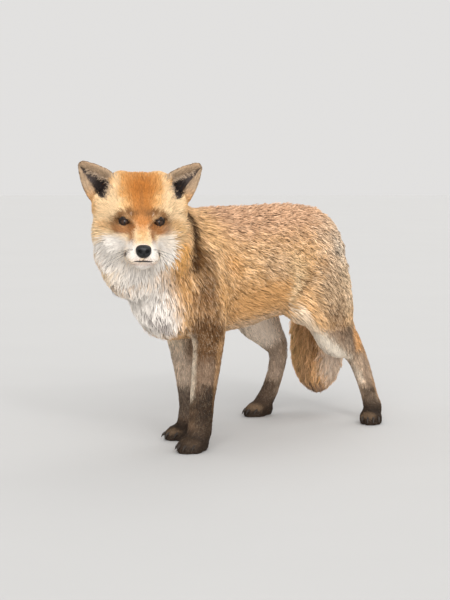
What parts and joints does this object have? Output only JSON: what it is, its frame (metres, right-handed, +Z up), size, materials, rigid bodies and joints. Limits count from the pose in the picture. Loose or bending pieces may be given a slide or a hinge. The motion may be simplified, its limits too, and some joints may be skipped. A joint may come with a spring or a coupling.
{
  "type": "red fox display model",
  "caption": "Red fox at life size, standing with its head turned, as a still museum-style model.",
  "frame": {"origin": "on the floor, under the middle of the model's bounding box", "axes": "+Z up, the fox faces -Y, its left side is +X"},
  "size_m": [0.2659, 0.7073, 0.4902],
  "materials": {
    "russet_coat": "soft fur, russet to cream",
    "grizzled_coat": "soft fur, grizzled fawn",
    "dark_coat": "short dark brown fur",
    "brush_coat": "long fur, buff to brown",
    "nose_leather": "moist, finely pebbled",
    "eyeball": "wet and glossy",
    "horn": "smooth horn, pale"
  },
  "bodies": {
    "root": {"claw_front_left_1": "horn", "claw_front_left_2": "horn", "claw_front_left_3": "horn", "claw_front_left_4": "horn", "claw_front_right_1": "horn", "claw_front_right_2": "horn", "claw_front_right_3": "horn", "claw_front_right_4": "horn", "claw_hind_left_1": "horn", "claw_hind_left_2": "horn", "claw_hind_left_3": "horn", "claw_hind_left_4": "horn", "claw_hind_right_1": "horn", "claw_hind_right_2": "horn", "claw_hind_right_3": "horn", "claw_hind_right_4": "horn", "ear_left": "dark_coat", "ear_right": "dark_coat", "eye_left": "eyeball", "eye_right": "eyeball", "head": "russet_coat", "lower_leg_front_left": "dark_coat", "lower_leg_front_right": "dark_coat", "lower_leg_hind_left": "dark_coat", "lower_leg_hind_right": "dark_coat", "neck": "russet_coat", "nose": "nose_leather", "paw_front_left": "dark_coat", "paw_front_right": "dark_coat", "paw_hind_left": "dark_coat", "paw_hind_right": "dark_coat", "tail_end": "brush_coat", "tail_middle": "brush_coat", "tail_root": "brush_coat", "trunk_chest": "grizzled_coat", "trunk_loin": "grizzled_coat", "upper_leg_front_left": "russet_coat", "upper_leg_front_right": "russet_coat", "upper_leg_hind_left": "russet_coat", "upper_leg_hind_right": "russet_coat"}
  },
  "joints": []
}
